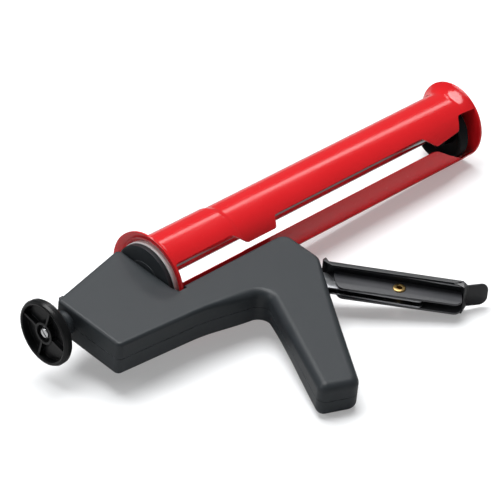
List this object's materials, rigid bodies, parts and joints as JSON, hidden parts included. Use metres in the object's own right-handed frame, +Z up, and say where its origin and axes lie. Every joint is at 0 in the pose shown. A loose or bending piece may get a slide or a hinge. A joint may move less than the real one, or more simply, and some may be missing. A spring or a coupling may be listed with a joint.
{
  "type": "caulking gun",
  "caption": "Caulking gun with a turning half-open barrel, trigger-driven push rod and rear pull knob, lying on its side.",
  "frame": {"origin": "middle of the footprint of the gun lying on its left side, on the floor", "axes": "+X from the knob towards the nozzle end, +Y from the grip across the barrel, +Z up from the floor"},
  "size_m": [0.4084, 0.2136, 0.072],
  "materials": {
    "housing_plastic": "satin moulded grain",
    "black_plastic": "smooth moulded",
    "grey_plastic": "smooth moulded",
    "white_plastic": "smooth moulded",
    "red_paint": "glossy enamel",
    "black_paint": "glossy enamel",
    "zinc_plate": "bright zinc plating",
    "dark_steel": "oiled hardened steel",
    "spring_steel": "drawn wire",
    "rivet_brass": "plain tube brass"
  },
  "bodies": {
    "handle": {"housing_right_shell": "housing_plastic", "housing_left_shell": "housing_plastic", "housing_screws": "dark_steel", "barrel_collar": "black_plastic", "retaining_disc": "white_plastic", "retaining_screws": "zinc_plate", "rear_rod_bush": "grey_plastic", "front_rod_bush": "grey_plastic", "trigger_pivot_pin": "zinc_plate"},
    "barrel": {"barrel_tube": "red_paint", "barrel_front_plate": "red_paint"},
    "rod": {"push_rod": "zinc_plate", "piston": "black_plastic", "piston_washer": "zinc_plate", "piston_nut": "zinc_plate", "knob": "black_plastic", "knob_screw": "zinc_plate"},
    "trigger": {"trigger_shell": "black_paint", "trigger_cheeks": "black_paint", "trigger_lever": "zinc_plate", "trigger_rivet": "rivet_brass", "lever_link_pin": "dark_steel"},
    "drive": {"drive_link": "dark_steel", "drive_plate": "dark_steel", "drive_spring": "spring_steel"},
    "release": {"release_plate": "dark_steel", "release_spring": "spring_steel"}
  },
  "joints": [
    {"name": "barrel_turn", "type": "hinge", "parent": "handle", "child": "barrel", "pos_m": [-0.1041, 0.07079, 0.03594], "axis": [0.9996, 0, -0.028], "continuous": true},
    {"name": "rod_slide", "type": "slide", "parent": "handle", "child": "rod", "axis": [-0.9996, 0, 0.028], "range_m": [0, 0.275]},
    {"name": "trigger_pivot", "type": "hinge", "parent": "handle", "child": "trigger", "pos_m": [-0.01937, 0.00336, 0.02482], "axis": [-0.0277, 0.1287, -0.9913], "range_deg": [0, 42], "stiffness_Nm_per_rad": 1.5, "springref_deg": -11.46},
    {"name": "drive_slide", "type": "slide", "parent": "handle", "child": "drive", "axis": [0.9996, 0, -0.028], "range_m": [0, 0.0117], "deforming": ["drive_spring"]},
    {"name": "release_pivot", "type": "hinge", "parent": "handle", "child": "release", "pos_m": [-0.17087, 0.05691, 0.03601], "axis": [-0.0277, 0.1287, -0.9913], "range_deg": [0, 6], "stiffness_Nm_per_rad": 1.5, "springref_deg": -5.73, "deforming": ["release_spring"]}
  ],
  "couplings": [
    {"joint": "drive_slide", "follows": "trigger_pivot", "m_per_rad": 0.015558}
  ]
}
